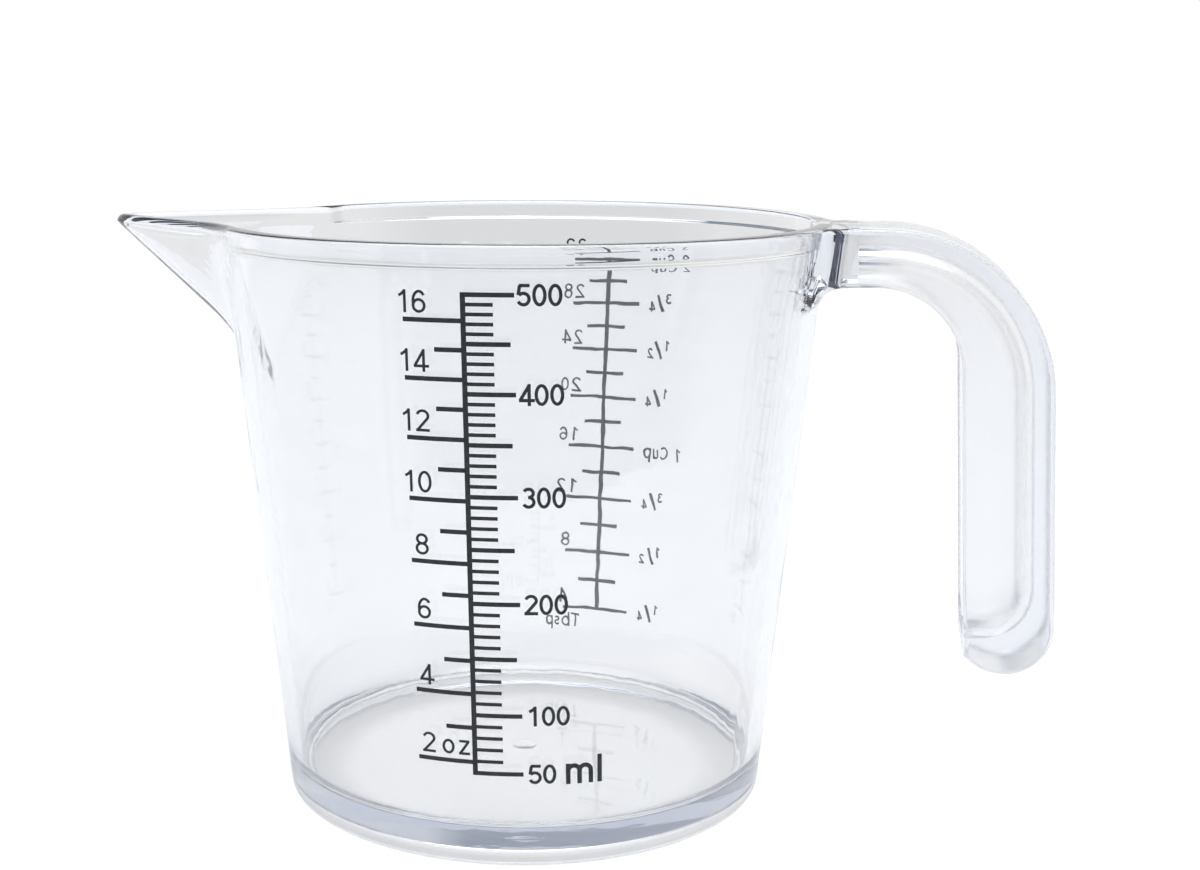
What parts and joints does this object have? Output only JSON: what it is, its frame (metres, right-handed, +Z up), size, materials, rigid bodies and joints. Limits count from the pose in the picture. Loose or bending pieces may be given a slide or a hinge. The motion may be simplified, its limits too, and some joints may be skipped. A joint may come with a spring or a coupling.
{
  "type": "measuring cup",
  "caption": "Clear tapered measuring cup with a V-shaped pouring spout, an open hook handle, a raised foot and printed volume scales on the front and the back.",
  "frame": {"origin": "on the table, under the middle of the whole length from the spout's nose to the back of the handle", "axes": "+X from the spout towards the handle, +Z up through the open mouth, front scale facing -Y"},
  "size_m": [0.1636, 0.1044, 0.0991],
  "materials": {
    "clear_plastic": "polished clear moulding with a faint cool tint in the thick places",
    "black_ink": "thin satin screen print"
  },
  "bodies": {
    "root": {"foot_ring": "clear_plastic", "floor_disc": "clear_plastic", "bowl_wall": "clear_plastic", "rim_band": "clear_plastic", "pouring_spout": "clear_plastic", "handle_root": "clear_plastic", "handle_grip": "clear_plastic", "front_scale": "black_ink", "back_scale": "black_ink"}
  },
  "joints": []
}
